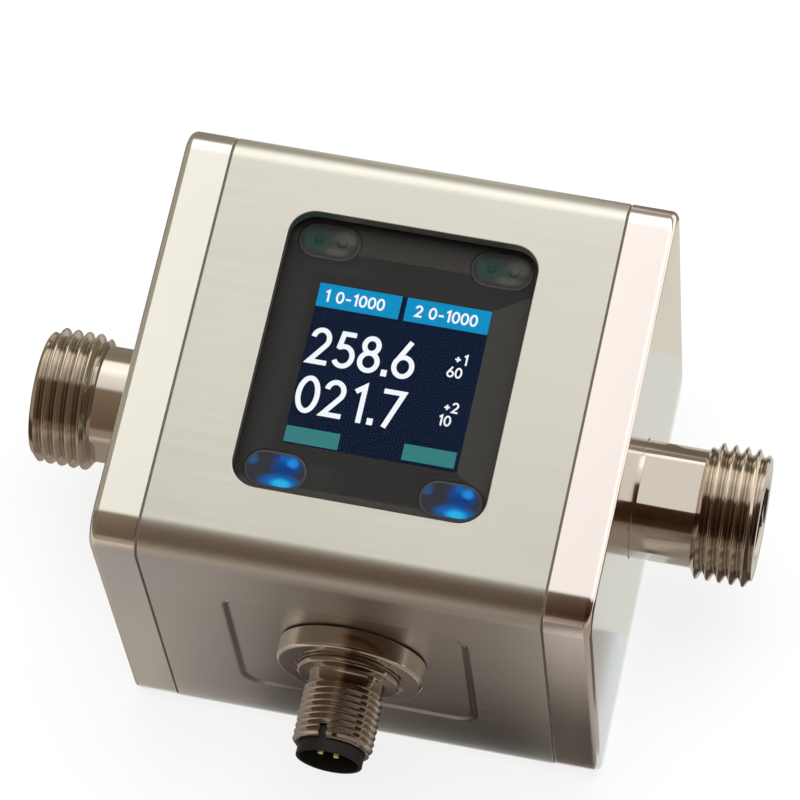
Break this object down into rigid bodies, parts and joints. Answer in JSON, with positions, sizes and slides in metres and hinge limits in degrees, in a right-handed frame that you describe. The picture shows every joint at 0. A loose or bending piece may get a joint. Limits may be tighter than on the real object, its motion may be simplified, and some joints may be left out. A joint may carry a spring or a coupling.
{
  "type": "electromagnetic flow meter",
  "caption": "Compact electromagnetic flow meter: square steel housing with end caps, male pipe threads at either end, a colour display with optical keys behind glass, and a round threaded plug.",
  "frame": {"origin": "on the flow axis, half-way along the housing", "axes": "+X along the flow from inlet to outlet, +Z out of the display, +Y toward the display's top; the plug points to -Y"},
  "size_m": [0.1114, 0.0849, 0.068],
  "materials": {
    "shell_steel": "satin",
    "cap_steel": "polished",
    "fitting_steel": "turned",
    "plug_metal": "nickel plated",
    "seal_rubber": "matt",
    "liner_plastic": "smooth",
    "electrode_alloy": "polished",
    "copper_wire": "enamelled",
    "soft_iron": "plain",
    "black_plastic": "moulded",
    "window_glass": "smoked",
    "dark_lens": "clear lacquer",
    "lit_lens": "lit",
    "display_face": "lit",
    "board_resin": "lacquered",
    "gold_contact": "gold plated",
    "ribbon_film": "film",
    "lead_sheath": "extruded"
  },
  "bodies": {
    "root": {"centre_shell": "shell_steel", "inlet_end_cap": "cap_steel", "outlet_end_cap": "cap_steel", "inlet_fitting": "fitting_steel", "outlet_fitting": "fitting_steel", "measuring_tube": "fitting_steel", "plug_flange": "fitting_steel", "plug_shell": "plug_metal", "plug_nut": "plug_metal", "inlet_seam_gasket": "seal_rubber", "outlet_seam_gasket": "seal_rubber", "window_seal": "seal_rubber", "plug_seal": "seal_rubber", "inlet_neck_seal": "seal_rubber", "outlet_neck_seal": "seal_rubber", "inlet_liner_seal": "seal_rubber", "outlet_liner_seal": "seal_rubber", "liner": "liner_plastic", "plug_side_electrode_insulator": "liner_plastic", "far_side_electrode_insulator": "liner_plastic", "plug_side_electrode": "electrode_alloy", "far_side_electrode": "electrode_alloy", "plug_side_electrode_nut": "electrode_alloy", "far_side_electrode_nut": "electrode_alloy", "temperature_sensor": "electrode_alloy", "display_screws": "electrode_alloy", "main_board_screws": "electrode_alloy", "board_standoffs": "electrode_alloy", "lower_coil_winding": "copper_wire", "upper_coil_winding": "copper_wire", "lower_pole_shoe": "soft_iron", "upper_pole_shoe": "soft_iron", "magnet_yoke": "soft_iron", "display_frame": "black_plastic", "plug_insert": "black_plastic", "lower_coil_bobbin": "black_plastic", "upper_coil_bobbin": "black_plastic", "lead_header": "black_plastic", "signal_processor": "black_plastic", "display_ribbon_socket": "black_plastic", "main_ribbon_socket": "black_plastic", "key_detectors": "black_plastic", "window_glass": "window_glass", "key_lens_upper_left": "dark_lens", "key_lens_upper_right": "dark_lens", "key_lens_lower_left": "lit_lens", "key_lens_lower_right": "lit_lens", "display_panel": "display_face", "display_board": "board_resin", "main_board": "board_resin", "plug_board": "board_resin", "plug_pins": "gold_contact", "display_ribbon": "ribbon_film", "plug_ribbon": "ribbon_film", "plug_side_electrode_lead": "lead_sheath", "far_side_electrode_lead": "lead_sheath", "lower_coil_lead": "lead_sheath", "upper_coil_lead": "lead_sheath", "sensor_lead": "lead_sheath"}
  },
  "joints": []
}
